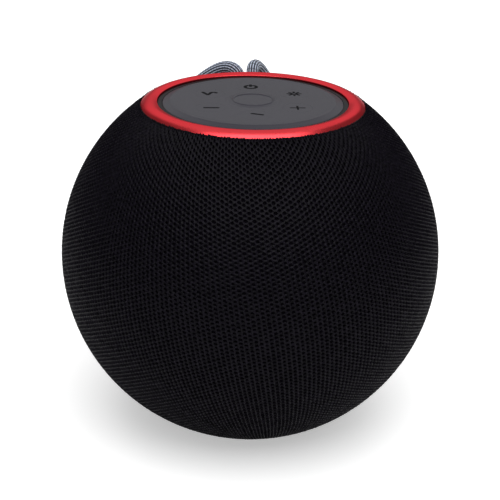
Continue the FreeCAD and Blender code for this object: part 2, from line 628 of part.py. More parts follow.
# ---- battery and electronics ----
def make_electronics():
    chassis_low = "(%s - chassis_height)" % chassis_top
    chassis = turned("chassis_turned", [
        ("chassis_opening", chassis_low), ("chassis_radius", chassis_low), ("chassis_radius", chassis_top),
        ("chassis_opening", chassis_top)])
    around(chassis, raise_posts(chassis, [cos_sin("chassis_post_circle", 45) + ("3.5",)], baffle_top,
                                "%s - %s" % (chassis_low, baffle_top)), 4)
    raise_posts(chassis, [(across, back, "2") for across in ("-24", "24") for back in ("25.5", "40.5")],
                chassis_top, "%s - %s" % (board_height, chassis_top))
    sink(chassis, [charge_lead_place + ("lead_radius + 0.6",), ("0", "26", "1.5")], chassis_top,
         "chassis_height")
    keep(chassis, "inner_chassis")

    half = "(cell_radius + cell_gap + holder_wall)"
    block = wide_box("holder_block", "cell_length / 2 + cell_gap + holder_wall",
                     ("0 - %s - %s" % (cell_setback, half), "0 - %s + %s" % (cell_setback, half)),
                     (chassis_top, "%s - 1" % cell_height))
    trough = rod("holder_trough", "cell_radius + cell_gap",
                 ("0 - cell_length / 2 - cell_gap", "cell_length / 2 + cell_gap"), "0 - " + cell_setback,
                 cell_height)
    keep(cut("holder", block, trough), "battery_holder")
    keep(rod("cell_rod", "cell_radius", ("0 - cell_length / 2", "cell_length / 2"), "0 - " + cell_setback,
             cell_height), "battery_cell")

    face = "(%s + 1.6)" % board_height
    keep(wide_box("main_board_box", "28", ("22", "44"), (board_height, face)), "main_board")
    keep(box("shield_box", ("-26", "-9"), ("24", "41"), (face, "%s + 3" % face)), "shield_can")
    parts = [wide_box("ribbon_connector", "6", ("28", "33.8"), (face, "%s + 1.7" % face)),
             box("amplifier_chip", ("10", "18"), ("24", "32"), (face, "%s + 1.2" % face)),
             box("charger_chip", ("20", "25"), ("26", "31"), (face, "%s + 1" % face)),
             post("capacitor_left", "3", "13.5", "38.5", (face, "%s + 7" % face)),
             post("capacitor_right", "3", "21.5", "38.5", (face, "%s + 7" % face))]
    keep(group("board_parts", *parts), "board_parts")

    ribbon = new_body("ribbon_body")
    path = sketch_on(ribbon, "YZ_Plane")
    high = "(%s - board_thickness)" % board_top
    low = "(%s + 1.7)" % face
    draw(path, [("20", high), ("33.3", high), ("33.3", low), ("28.5", low), ("28.5", "%s + 0.3" % low),
                ("33", "%s + 0.3" % low), ("33", "%s - 0.3" % high), ("20", "%s - 0.3" % high)])
    strip = ribbon.newObject("PartDesign::Pad", "ribbon_pad")
    strip.Profile = path
    strip.SideType = "Symmetric"
    bind(strip, Length="10")
    keep(ribbon, "keypad_ribbon")

    port_board_top = "(0 - port_drop + socket_rise - 1.6)"
    keep(post("charge_lead_post", "lead_radius - 0.05", charge_lead_place[0], charge_lead_place[1],
              (port_board_top, board_height)), "charge_lead")
    keep(wide_box("port_board_box", "8", ("29", "port_floor - port_floor_wall - 0.1"),
                  ("%s - 1.2" % port_board_top, port_board_top)), "port_board")


# ---- charging port with its flap ----
def port_tool(name, gap):
    """The space that the port takes out of the skin or the shell behind it, with a gap round it."""
    return wide_box(name, "port_half_width + " + gap, ("port_floor - port_floor_wall - 3", "ball_radius"),
                    ("0 - port_drop - port_half_height - " + gap,
                     "0 - port_drop + port_half_height + " + gap))


def make_port():
    flush = ball("port_ball", "ball_radius - 0.15")
    block = wide_box("port_block", "port_half_width", ("port_floor - port_floor_wall", "ball_radius"),
                     ("0 - port_drop - port_half_height", "0 - port_drop + port_half_height"))
    window = wide_box("port_window", "window_half_width", ("port_floor", "ball_radius + 1"),
                      ("0 - port_drop - window_half_height - window_swing",
                       "0 - port_drop + window_half_height"))
    socket_middle = "(0 - port_drop + socket_rise)"
    socket_hole = wide_box("socket_hole", "4.57", ("port_floor - port_floor_wall - 1", "port_floor + 1"),
                           ("%s - 1.65" % socket_middle, "%s + 1.65" % socket_middle))
    pin_ends = ("0 - port_half_width + pin_wall", "port_half_width - pin_wall")
    pin_hole = rod("pin_hole", "pin_radius", pin_ends, hinge_setback, hinge_height)
    keep(cut("port", overlap("port", block, flush), window, socket_hole, pin_hole), "port_frame")
    keep(rod("pin_rod", "pin_radius", pin_ends, hinge_setback, hinge_height), "flap_pin")

    half = "(window_half_width - flap_gap)"
    door = wide_box("flap_block", half, ("port_floor", "ball_radius"),
                    (hinge_height + " - flap_skirt", "0 - port_drop + window_half_height - flap_gap"))
    layer = cut("flap_layer", ball("flap_outer", "ball_radius - 0.2"),
                ball("flap_inner", "ball_radius - 0.2 - flap_wall"))
    barrel = rod("flap_barrel", "hinge_barrel", ("0 - %s" % half, half), hinge_setback, hinge_height)
    bore = rod("flap_bore", "pin_radius + pin_clearance", ("0 - %s - 1" % half, "%s + 1" % half),
               hinge_setback, hinge_height)
    keep(cut("flap", join("flap", overlap("flap", door, layer), barrel), bore), "port_flap")

    back = "(port_floor - 7)"
    metal = wide_box("socket_block", "4.47", (back, "port_floor"),
                     ("%s - 1.6" % socket_middle, "%s + 1.6" % socket_middle))
    mouth = wide_box("socket_mouth", "4.17", ("%s + 0.5" % back, "port_floor + 1"),
                     ("%s - 1.28" % socket_middle, "%s + 1.28" % socket_middle))
    tongue = wide_box("socket_tongue", "3.35", (back, "port_floor - 0.6"),
                      ("%s - 0.35" % socket_middle, "%s + 0.35" % socket_middle))
    keep(join("socket", cut("socket", metal, mouth), tongue), "usb_c_receptacle")


# ---- lanyard and what holds it ----
def anchor_tool(name, gap):
    return wide_box(name, "6 + " + gap,
                    ("%s - 3 - %s" % (anchor_setback, gap), "%s + 3 + %s" % (anchor_setback, gap)),
                    ("35", "ball_radius"))


def make_anchor():
    body = overlap("anchor", wide_box("anchor_block", "6", (anchor_setback + " - 3", anchor_setback + " + 3"),
                                      ("36.6", "ball_radius")), ball("anchor_ball", "ball_radius - 0.15"))
    holes = [post("anchor_hole_" + side, "cord_radius", "%s cord_spacing / 2" % sign, anchor_setback,
                  ("30", "ball_radius")) for side, sign in (("left", "0 -"), ("right", "0 +"))]
    keep(cut("anchor", body, *holes), "lanyard_anchor")
    clamp = wide_box("clamp_block", "5.2", (anchor_setback + " - 2.6", anchor_setback + " + 2"),
                     (clamp_top + " - 3.5", clamp_top))
    keep(clamp, "cord_clamp")


# The cord's route, counted from the ball's centre: out of the left hole, over, down the back, and up again.
cord_route = [
    (-2.3, 39.5, 35), (-2.3, 39.5, 49.3), (-8.5, 43.2, 49.6), (-18, 47.5, 40.5), (-25.5, 49.5, 32),
    (-28, 55, 17.5), (-25.5, 60, 3), (-17, 63.2, -9), (-5, 63.8, -17.5), (8, 63.4, -15.5), (18.5, 63.2, -5.5),
    (23.5, 61, 8), (22.5, 56, 22), (16.5, 52, 33.5), (8.7, 48.4, 42.2), (4.6, 45.2, 49.2), (2.3, 39.5, 49.9),
    (2.3, 39.5, 35)]


def tube(name, points, radius):
    """Straight runs joined by tangent arcs, each as large as its two runs allow."""
    corners = [FreeCAD.Vector(*point) for point in points]
    edges = []
    start = corners[0]
    for before, corner, after in zip(corners, corners[1:], corners[2:]):
        come, go = corner - before, after - corner
        half = come.getAngle(go) / 2
        trim = 0.45 * min(come.Length, go.Length)
        print("%s bend radius %.1f" % (name, trim / math.tan(half)))
        first = corner - come.normalize() * trim
        last = corner + go.normalize() * trim
        inward = (go - come).normalize()
        bend = Part.Arc(first, arc_middle(corner, inward, trim, half), last)
        edges += [Part.makeLine(start, first), bend.toShape()]
        start = last
    edges.append(Part.makeLine(start, corners[-1]))
    path = Part.Wire(edges)
    along = (corners[1] - corners[0]).normalize()
    section = Part.Wire([Part.makeCircle(radius, corners[0], along)])
    solid = path.makePipeShell([section], True, False)
    error = solid.Volume / (math.pi * radius ** 2 * path.Length) - 1
    print("%s length %.1f volume error %.5f" % (name, path.Length, error))
    assert abs(error) < 0.01, name + " tube has the wrong volume"
    return solid


def arc_middle(corner, inward, trim, half):
    """The arc's own middle, from its centre trim / sin(half) away and its radius trim / tan(half)."""
    radius = trim / math.tan(half)
    reach = trim / math.sin(half)
    return corner + inward * (reach - radius)


def make_cords():
    cord = doc.addObject("Part::Feature", "cord_tube")
    cord.Shape = tube("lanyard", cord_route, value("cord_radius"))
    cord.Placement = FreeCAD.Placement(FreeCAD.Vector(0, 0, value(centre)), FreeCAD.Rotation())
    keep(cord, "lanyard_cord")
    lead = doc.addObject("Part::Feature", "lead_tube")
    lead.Shape = tube("speaker lead", [(0, 18, -10), (0, 26, -10), (0, 26, value(board_height))], 0.6)
    lead.Placement = FreeCAD.Placement(FreeCAD.Vector(0, 0, value(centre)), FreeCAD.Rotation())
    keep(lead, "speaker_lead")


make_outside()
make_shells()
make_controls()
make_driver()
make_radiator()
make_electronics()
make_port()
make_anchor()
make_cords()
doc.recompute()

for item in doc.Objects:
    bad = [state for state in item.State if state in ("Invalid", "Error")]
    assert not bad, "%s is %s" % (item.Label, bad)
for label, piece in pieces.items():
    assert not piece.Shape.isNull() and piece.Shape.isValid(), label + " has no valid shape"
    assert piece.Shape.Solids, label + " has no solid"
os.makedirs("parts", exist_ok=True)
for label, piece in pieces.items():
    piece.Shape.exportStep(os.path.join("parts", label + ".step"))
print(len(pieces), "pieces")
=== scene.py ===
import json
import math
import bmesh
import bpy
import numpy as np
from mathutils import Matrix, Vector


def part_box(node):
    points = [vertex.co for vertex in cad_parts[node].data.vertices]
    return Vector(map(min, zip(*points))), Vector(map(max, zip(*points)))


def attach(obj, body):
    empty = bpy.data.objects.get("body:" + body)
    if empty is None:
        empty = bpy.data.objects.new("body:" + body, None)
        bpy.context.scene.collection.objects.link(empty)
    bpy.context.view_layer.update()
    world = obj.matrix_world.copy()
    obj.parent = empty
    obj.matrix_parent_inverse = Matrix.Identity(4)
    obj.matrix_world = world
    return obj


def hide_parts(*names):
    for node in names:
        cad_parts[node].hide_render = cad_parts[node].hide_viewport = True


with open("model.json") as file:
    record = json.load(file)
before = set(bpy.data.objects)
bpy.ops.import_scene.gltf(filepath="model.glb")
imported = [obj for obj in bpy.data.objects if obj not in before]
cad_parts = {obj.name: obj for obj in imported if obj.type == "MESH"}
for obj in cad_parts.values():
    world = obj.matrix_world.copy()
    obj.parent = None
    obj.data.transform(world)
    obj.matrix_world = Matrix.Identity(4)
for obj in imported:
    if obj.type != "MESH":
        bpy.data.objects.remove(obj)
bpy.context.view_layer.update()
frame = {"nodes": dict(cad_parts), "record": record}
scene = bpy.context.scene
print("frame loaded")

# the ball that everything is measured from; its centre follows from the ring that sits on it
ringLow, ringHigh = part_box("trim_ring")
ball = {"radius": 0.060, "ringOuter": ringHigh.x, "ringProud": 0.0011}
ball["centre"] = ringHigh.z - ball["ringProud"] - math.sqrt(ball["radius"] ** 2 - ball["ringOuter"] ** 2)
centre = Vector((0, 0, ball["centre"]))


# ---- camera, floor and light ----
def placeCamera():
    view = {"azimuth": -3.04, "elevation": 22.1, "distance": 0.480, "lens": 107.85, "roll": 1.1,
            "shiftX": -0.0003, "shiftY": 0.0021}
    a, e = math.radians(view["azimuth"]), math.radians(view["elevation"])
    direction = Vector((math.sin(a) * math.cos(e), -math.cos(a) * math.cos(e), math.sin(e)))
    data = bpy.data.cameras.new("camera")
    data.lens = view["lens"]
    data.sensor_width = 36
    data.shift_x, data.shift_y = view["shiftX"], view["shiftY"]
    camera = bpy.data.objects.new("camera", data)
    scene.collection.objects.link(camera)
    turn = direction.to_track_quat("Z", "Y").to_matrix().to_4x4()
    roll = Matrix.Rotation(math.radians(view["roll"]), 4, "Z")
    camera.matrix_world = Matrix.Translation(centre + direction * view["distance"]) @ turn @ roll
    scene.camera = camera


def softLight(name, azimuth, elevation, distance, size, power):
    # an area light on a sphere round the ball, turned to face it
    a, e = math.radians(azimuth), math.radians(elevation)
    direction = Vector((math.sin(a) * math.cos(e), -math.cos(a) * math.cos(e), math.sin(e)))
    data = bpy.data.lights.new(name, "AREA")
    data.shape = "RECTANGLE"
    data.size, data.size_y = size
    data.energy = power
    light = bpy.data.objects.new(name, data)
    scene.collection.objects.link(light)
    light.matrix_world = Matrix.Translation(centre + direction * distance) @ \
        direction.to_track_quat("Z", "Y").to_matrix().to_4x4()


def lightStudio():
    scene.view_settings.view_transform = "Standard"
    # the room seen behind the object is white, and it lights the object with less than that
    room = {"light": 0.18, "seen": 1.0}
    world = bpy.data.worlds.new("studio")
    world.use_nodes = True
    nodes, links = world.node_tree.nodes, world.node_tree.links
    path = nodes.new("ShaderNodeLightPath")
    level = nodes.new("ShaderNodeMath")
    level.operation = "MULTIPLY_ADD"
    level.inputs[1].default_value = room["seen"] - room["light"]
    level.inputs[2].default_value = room["light"]
    links.new(path.outputs["Is Camera Ray"], level.inputs[0])
    nodes["Background"].inputs["Color"].default_value = (1, 1, 1, 1)
    links.new(level.outputs["Value"], nodes["Background"].inputs["Strength"])
    scene.world = world
    softLight("softboxBack", 180, 50, 0.9, (1.1, 1.15), 2.6)
    softLight("softboxFront", 6, 64, 0.9, (1.0, 1.0), 9.5)


def layFloor():
    slab = {"radius": 3.0, "height": -0.0001, "segments": 64}
    points, faces = lathe([(0, slab["height"]), (slab["radius"], slab["height"])], slab["segments"])
    mesh = bpy.data.meshes.new("floor")
    mesh.from_pydata(points.tolist(), [], faces.tolist())
    weld(mesh)
    mesh.flip_normals()
    floor = bpy.data.objects.new("floor", mesh)
    scene.collection.objects.link(floor)
    material, nodes, links, shader = newMaterial("floorPaint")
    shader.inputs["Roughness"].default_value = 0.9
    shader.inputs["Specular IOR Level"].default_value = 0
    shader.inputs["Emission Color"].default_value = (1, 1, 1, 1)
    # the paint glows by itself, and more the farther it lies from the object
    glow = {"near": 0.25, "far": 1.2, "low": 0.45, "high": 0.95}
    reach = nodes.new("ShaderNodeVectorMath")
    reach.operation = "LENGTH"
    links.new(objectPoint(nodes), reach.inputs[0])
    spread = nodes.new("ShaderNodeMapRange")
    for socket, key in (("From Min", "near"), ("From Max", "far"), ("To Min", "low"), ("To Max", "high")):
        spread.inputs[socket].default_value = glow[key]
    links.new(reach.outputs["Value"], spread.inputs["Value"])
    links.new(spread.outputs["Result"], shader.inputs["Emission Strength"])
    speck(nodes, links, shader, (0.93, 0.93, 0.93), (0.95, 0.95, 0.95), 9)
    mesh.materials.append(material)


# ---- mesh tools ----
# corner numbers of the quads of a grid, row by row; a wrapped side joins its end to its start
def gridFaces(rows, columns, wrapRows=False, wrapColumns=False):
    i = np.arange(rows if wrapRows else rows - 1)
    j = np.arange(columns if wrapColumns else columns - 1)
    i, j = np.meshgrid(i, j, indexing="ij")
    i, j = i.ravel(), j.ravel()
    up, over = (i + 1) % rows, (j + 1) % columns
    return np.stack([i * columns + j, up * columns + j, up * columns + over, i * columns + over], 1)


# a profile of (radius, height) points carried round the Z axis: x = r cos a, y = r sin a
def lathe(profile, segments, closed=False):
    profile = np.asarray(profile, float)
    angle = np.linspace(0, 2 * np.pi, segments, endpoint=False)
    flat = np.stack([np.cos(angle), np.sin(angle)], 1)[:, None, :] * profile[None, :, :1]
    height = np.broadcast_to(profile[None, :, 1:], (segments, len(profile), 1))
    return np.concatenate([flat, height], 2).reshape(-1, 3), gridFaces(segments, len(profile), True, closed)


# corners (across, up, round): each corner is replaced by an arc of that radius, tangent to both its sides
def softOutline(corners, steps=8, closed=True):
    points = []
    places = [np.array(corner[:2], float) for corner in corners]
    for number, corner in enumerate(corners):
        here = places[number]
        radius = corner[2] if len(corner) > 2 else 0
        if not radius or (not closed and number in (0, len(corners) - 1)):
            points.append(here)
            continue
        come = here - places[number - 1]
        go = places[(number + 1) % len(places)] - here
        come, go = come / np.linalg.norm(come), go / np.linalg.norm(go)
        bend = math.acos(np.clip(come @ go, -1, 1))
        middle = here + (go - come) / np.linalg.norm(go - come) * radius / math.cos(bend / 2)
        side = np.sign(come[0] * go[1] - come[1] * go[0])
        start = here - come * radius * math.tan(bend / 2) - middle
        turn = side * bend * np.linspace(0, 1, steps)
        points += list(middle + np.stack([start[0] * np.cos(turn) - start[1] * np.sin(turn),
                                          start[0] * np.sin(turn) + start[1] * np.cos(turn)], 1))
    return np.array(points)


def weld(mesh, closed=True, distance=1e-7):
    work = bmesh.new()
    work.from_mesh(mesh)
    bmesh.ops.remove_doubles(work, verts=work.verts, dist=distance)
    bmesh.ops.dissolve_degenerate(work, edges=work.edges, dist=distance)
    if closed:
        bmesh.ops.recalc_face_normals(work, faces=work.faces)
    work.to_mesh(mesh)
    work.free()


# a rectangle with round corners: across from -half to half, up from low to high
def roundRectangle(half, low, high, corner, steps=6):
    turn = np.linspace(0, np.pi / 2, steps)
    middles = ((half - corner, high - corner), (corner - half, high - corner), (corner - half, low + corner),
               (half - corner, low + corner))
    return np.concatenate([np.stack([across + corner * np.cos(turn + quarter * np.pi / 2),
                                     up + corner * np.sin(turn + quarter * np.pi / 2)], 1)
                           for quarter, (across, up) in enumerate(middles)])


# rings of round rectangles joined one to the next. A depth is a plane, or the ball's surface at a radius
def loft(rings, around=False):
    points = []
    for half, low, high, corner, kind, depth in rings:
        flat = roundRectangle(half, low, high, corner)
        reach = np.full(len(flat), depth) if kind == "plane" else np.sqrt(depth ** 2 - (flat ** 2).sum(1))
        points.append(np.column_stack([flat[:, 0], reach, flat[:, 1]]))
    return np.concatenate(points), gridFaces(len(rings), len(points[0]), around, True)


def addPiece(name, points, faces, material, body, replaced=(), sharp=35, uv=None, closed=True,
             normals=None):
    mesh = bpy.data.meshes.new(name)
    mesh.from_pydata(np.asarray(points).tolist(), [], np.asarray(faces).tolist())
    if uv is not None:
        layer = mesh.uv_layers.new(name="cloth")
        layer.data.foreach_set("uv", np.asarray(uv, np.float32).ravel())
    elif normals is None:
        weld(mesh, closed)
    mesh.shade_smooth()
    if sharp:
        mesh.set_sharp_from_angle(angle=math.radians(sharp))
    if normals is not None:
        mesh.normals_split_custom_set_from_vertices(normals.tolist())
    mesh.materials.append(material)
    piece = bpy.data.objects.new(name, mesh)
    scene.collection.objects.link(piece)
    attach(piece, body)
    if replaced:
        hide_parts(*replaced)
    return piece


# ---- finishes ----
def newMaterial(name):
    material = bpy.data.materials.new(name)
    material.use_nodes = True
    nodes, links = material.node_tree.nodes, material.node_tree.links
    return material, nodes, links, nodes["Principled BSDF"]


def objectPoint(nodes):
    return nodes.new("ShaderNodeTexCoord").outputs["Object"]


# two colours mixed by fine noise, a roughness that wanders with it and a small bump
def speck(nodes, links, shader, dark, pale, scale, rough=None, bump=0, grain=0):
    noise = nodes.new("ShaderNodeTexNoise")
    noise.inputs["Scale"].default_value = scale
    noise.inputs["Detail"].default_value = 6
    links.new(objectPoint(nodes), noise.inputs["Vector"])
    ramp = nodes.new("ShaderNodeValToRGB")
    ramp.color_ramp.elements[0].position, ramp.color_ramp.elements[1].position = 0.35, 0.65
    ramp.color_ramp.elements[0].color = (*dark, 1)
    ramp.color_ramp.elements[1].color = (*pale, 1)
    links.new(noise.outputs["Fac"], ramp.inputs["Fac"])
    links.new(ramp.outputs["Color"], shader.inputs["Base Color"])
    if rough:
        spread = nodes.new("ShaderNodeMapRange")
        spread.inputs["To Min"].default_value, spread.inputs["To Max"].default_value = rough
        links.new(noise.outputs["Fac"], spread.inputs["Value"])
        links.new(spread.outputs["Result"], shader.inputs["Roughness"])
    if bump:
        fine = nodes.new("ShaderNodeTexNoise")
        fine.inputs["Scale"].default_value = grain
        fine.inputs["Detail"].default_value = 3
        links.new(objectPoint(nodes), fine.inputs["Vector"])
        relief = nodes.new("ShaderNodeBump")
        relief.inputs["Strength"].default_value = bump
        relief.inputs["Distance"].default_value = 0.0002
        links.new(fine.outputs["Fac"], relief.inputs["Height"])
        links.new(relief.outputs["Normal"], shader.inputs["Normal"])


def mouldedFinish(name, look):
    material, nodes, links, shader = newMaterial(name)
    dark = look["colour"]
    pale = tuple(min(1, part * look.get("spread", 1.25)) for part in dark)
    speck(nodes, links, shader, dark, pale, look.get("scale", 60), look.get("rough", (0.45, 0.6)),
          look.get("bump", 0.15), look.get("grain", 2500))
    shader.inputs["Specular IOR Level"].default_value = look.get("specular", 0.5)
    shader.inputs["Metallic"].default_value = look.get("metal", 0)
    shader.inputs["Coat Weight"].default_value = look.get("coat", 0)
    shader.inputs["Sheen Weight"].default_value = look.get("sheen", 0)
    return material


looks = {
    "black_plastic": {"colour": (0.012, 0.012, 0.013), "rough": (0.42, 0.55), "bump": 0.2},
    "shell_plastic": {"colour": (0.02, 0.02, 0.022), "rough": (0.5, 0.62)},
    "screw_steel": {"colour": (0.5, 0.5, 0.52), "metal": 1, "rough": (0.25, 0.4), "scale": 400},
    "foot_rubber": {"colour": (0.018, 0.018, 0.02), "rough": (0.75, 0.9), "bump": 0.4, "grain": 1800},
    "smoked_guide": {"colour": (0.002, 0.002, 0.003), "rough": (0.3, 0.4), "bump": 0, "specular": 0.06},
    "seal_foam": {"colour": (0.03, 0.03, 0.03), "rough": (0.9, 1.0), "bump": 0.8, "grain": 1500},
    "board_green": {"colour": (0.01, 0.09, 0.035), "rough": (0.3, 0.4), "coat": 0.4, "scale": 300},
    "led_white": {"colour": (0.75, 0.74, 0.66), "rough": (0.2, 0.3), "spread": 1.1},
    "nickel_can": {"colour": (0.62, 0.6, 0.56), "metal": 1, "rough": (0.2, 0.34), "scale": 500},
    "basket_steel": {"colour": (0.33, 0.33, 0.34), "metal": 1, "rough": (0.35, 0.5), "scale": 200},
    "ferrite": {"colour": (0.035, 0.035, 0.038), "rough": (0.55, 0.75), "bump": 0.5, "grain": 900},
    "surround_rubber": {"colour": (0.012, 0.012, 0.012), "rough": (0.5, 0.65)},
    "spider_cloth": {"colour": (0.5, 0.36, 0.17), "rough": (0.8, 0.95), "bump": 0.8, "grain": 1400,
                     "sheen": 0.3},
    "cone_paper": {"colour": (0.025, 0.025, 0.027), "rough": (0.7, 0.85), "bump": 0.5, "grain": 1100},
    "copper_wire": {"colour": (0.6, 0.22, 0.09), "metal": 1, "rough": (0.3, 0.42)},
    "cell_wrap": {"colour": (0.03, 0.12, 0.36), "rough": (0.2, 0.3), "coat": 0.5, "bump": 0.05},
    "ribbon_film": {"colour": (0.48, 0.22, 0.05), "rough": (0.25, 0.35), "coat": 0.3},
    "lead_jacket": {"colour": (0.3, 0.015, 0.015), "rough": (0.4, 0.5)},
    "key_ink": {"colour": (0.003, 0.003, 0.004), "rough": (0.6, 0.7), "spread": 1.15, "specular": 0.04},
}


# red metal turned on a lathe: fine rings of radius bend the highlight round the axis
def ringFinish():
    material, nodes, links, shader = newMaterial("ring_red")
    speck(nodes, links, shader, (0.72, 0.048, 0.058), (0.78, 0.055, 0.066), 55, (0.25, 0.30))
    shader.inputs["Metallic"].default_value = 1
    shader.inputs["Specular Tint"].default_value = (1, 0.5, 0.53, 1)
    shader.inputs["Anisotropic"].default_value = 0.4
    tangent = nodes.new("ShaderNodeTangent")
    tangent.direction_type = "RADIAL"
    tangent.axis = "Z"
    links.new(tangent.outputs["Tangent"], shader.inputs["Tangent"])
    split = nodes.new("ShaderNodeSeparateXYZ")
    links.new(objectPoint(nodes), split.inputs["Vector"])
    radius = nodes.new("ShaderNodeVectorMath")
    radius.operation = "LENGTH"
    flat = nodes.new("ShaderNodeCombineXYZ")
    links.new(split.outputs["X"], flat.inputs["X"])
    links.new(split.outputs["Y"], flat.inputs["Y"])
    links.new(flat.outputs["Vector"], radius.inputs[0])
    spread = nodes.new("ShaderNodeCombineXYZ")
    links.new(radius.outputs["Value"], spread.inputs["X"])
    lines = nodes.new("ShaderNodeTexNoise")
    lines.inputs["Scale"].default_value = 6000
    lines.inputs["Detail"].default_value = 4
    links.new(spread.outputs["Vector"], lines.inputs["Vector"])
    relief = nodes.new("ShaderNodeBump")
    relief.inputs["Strength"].default_value = 0.08
    relief.inputs["Distance"].default_value = 0.00005
    links.new(lines.outputs["Fac"], relief.inputs["Height"])
    links.new(relief.outputs["Normal"], shader.inputs["Normal"])
    return material


def padFinish():
    material, nodes, links, shader = newMaterial("pad_rubber")
    speck(nodes, links, shader, (0.022, 0.021, 0.029), (0.027, 0.026, 0.035), 45, (0.36, 0.44), 0.10, 3500)
    shader.inputs["Specular IOR Level"].default_value = 0.26
    shader.inputs["Specular Tint"].default_value = (0.93, 0.90, 1, 1)
    return material


# black polyester yarn: speckled and rough with fine fibres, and hardly glossy
def yarnFinish():
    material, nodes, links, shader = newMaterial("knit_mesh")
    speck(nodes, links, shader, (0.0010, 0.0007, 0.0016), (0.0052, 0.0040, 0.0076), 1100, (0.28, 0.38), 1,
          1500)
    shader.inputs["Specular IOR Level"].default_value = 0.06
    return material


# braid: u counts the ribs round the cord and v the stitches along it; every other rib is pale
def cordFinish():
    material, nodes, links, shader = newMaterial("braided_cord")
    cloth = nodes.new("ShaderNodeUVMap")
    cloth.uv_map = "cloth"
    split = nodes.new("ShaderNodeSeparateXYZ")
    links.new(cloth.outputs["UV"], split.inputs["Vector"])

    def calculate(operation, first, second=None, third=None):
        step = nodes.new("ShaderNodeMath")
        step.operation = operation
        for socket, given in zip(step.inputs, (first, second, third)):
            if given is None:
                continue
            if isinstance(given, (int, float)):
                socket.default_value = given
            else:
                links.new(given, socket)
        return step.outputs[0]

    rib = calculate("FLOOR", split.outputs["X"])
    pale = calculate("MODULO", rib, 2)
    across = calculate("SUBTRACT", calculate("FRACT", split.outputs["X"]), 0.5)
    along = calculate("ADD", split.outputs["Y"], calculate("MULTIPLY", calculate("ABSOLUTE", across), 0.6))
    stitch = calculate("PINGPONG", along, 0.5)
    tip = calculate("GREATER_THAN", stitch, 0.07)
    thread = calculate("LESS_THAN", calculate("ABSOLUTE", across), 0.4)
    paleYarn = calculate("MULTIPLY", calculate("MULTIPLY", pale, tip), thread)
    noise = nodes.new("ShaderNodeTexNoise")
    noise.inputs["Scale"].default_value = 900
    links.new(objectPoint(nodes), noise.inputs["Vector"])
    blend = nodes.new("ShaderNodeMix")
    blend.data_type = "RGBA"
    blend.inputs["A"].default_value = (0.006, 0.012, 0.024, 1)
    blend.inputs["B"].default_value = (0.5, 0.57, 0.7, 1)
    links.new(paleYarn, blend.inputs["Factor"])
    links.new(blend.outputs["Result"], shader.inputs["Base Color"])
    shader.inputs["Roughness"].default_value = 0.75
    shader.inputs["Sheen Weight"].default_value = 0.3
    relief = nodes.new("ShaderNodeBump")
    relief.inputs["Strength"].default_value = 0.4
    relief.inputs["Distance"].default_value = 0.0001
    links.new(noise.outputs["Fac"], relief.inputs["Height"])
    links.new(relief.outputs["Normal"], shader.inputs["Normal"])
    return material


placeCamera()
lightStudio()
layFloor()
finishes = {name: mouldedFinish(name, look) for name, look in looks.items()}
finishes["ring_red"] = ringFinish()
finishes["pad_rubber"] = padFinish()
finishes["knit_mesh"] = yarnFinish()
finishes["braided_cord"] = cordFinish()
slotOf = {part["node"]: part["material_slot"] for part in frame["record"]["subparts"]}
for nodeName, node in frame["nodes"].items():
    node.data.materials.clear()
    node.data.materials.append(finishes[slotOf[nodeName]])
print("camera, light and finishes ready")


# ---- lanyard ----
# one round cord from the left hole over and down the back and up again to the right hole; its route is in
# millimetres, counted from the ball's centre
lanyard = {
    "route": [
        (-2.3, 39.5, 35), (-2.4, 39.2, 42.8), (-3, 39.3, 49.4), (-8.7, 43.3, 49.5), (-18.6, 47.5, 41),
        (-25.5, 49.5, 32), (-28, 55, 17.5), (-25.5, 60, 3), (-17, 63.2, -9), (-5, 63.8, -17.5),
        (8, 63.4, -15.5), (18.5, 63.2, -5.5), (23.5, 61, 8), (22.5, 56, 22), (16.5, 52, 33.5),
        (8, 48.4, 42.2), (3.6, 45.3, 49.5), (1.4, 39.5, 50), (2.2, 39.2, 43), (2.3, 39.5, 35)],
    "radius": 0.002, "ribs": 26, "ribHeight": 0.0002, "stitch": 0.0011, "swell": 0.35, "slant": 0.3,
    "around": 130, "step": 0.00031, "pathEvery": 4,
}


def splinePoints(route, resolution=24):
    data = bpy.data.curves.new("lanyardLine", "CURVE")
    data.dimensions = "3D"
    spline = data.splines.new("NURBS")
    spline.points.add(len(route) - 1)
    for point, place in zip(spline.points, route):
        point.co = (*place, 1)
    spline.order_u = 3
    spline.use_endpoint_u = True
    data.resolution_u = resolution
    line = bpy.data.objects.new("lanyardLine", data)
    scene.collection.objects.link(line)
    bpy.context.view_layer.update()
    mesh = bpy.data.meshes.new_from_object(line.evaluated_get(bpy.context.evaluated_depsgraph_get()))
    points = np.empty(len(mesh.vertices) * 3)
    mesh.vertices.foreach_get("co", points)
    bpy.data.objects.remove(line)
    return points.reshape(-1, 3)


# the line measured out again in equal steps of its own length, without the points that coincide
def evenSteps(points, step):
    gaps = np.linalg.norm(np.diff(points, axis=0), axis=1)
    points = points[np.r_[True, gaps > 1e-9]]
    reach = np.r_[0, np.cumsum(np.linalg.norm(np.diff(points, axis=0), axis=1))]
    count = int(reach[-1] / step)
    where = np.linspace(0, reach[-1], count + 1)
    return np.stack([np.interp(where, reach, points[:, axis]) for axis in range(3)], 1), where


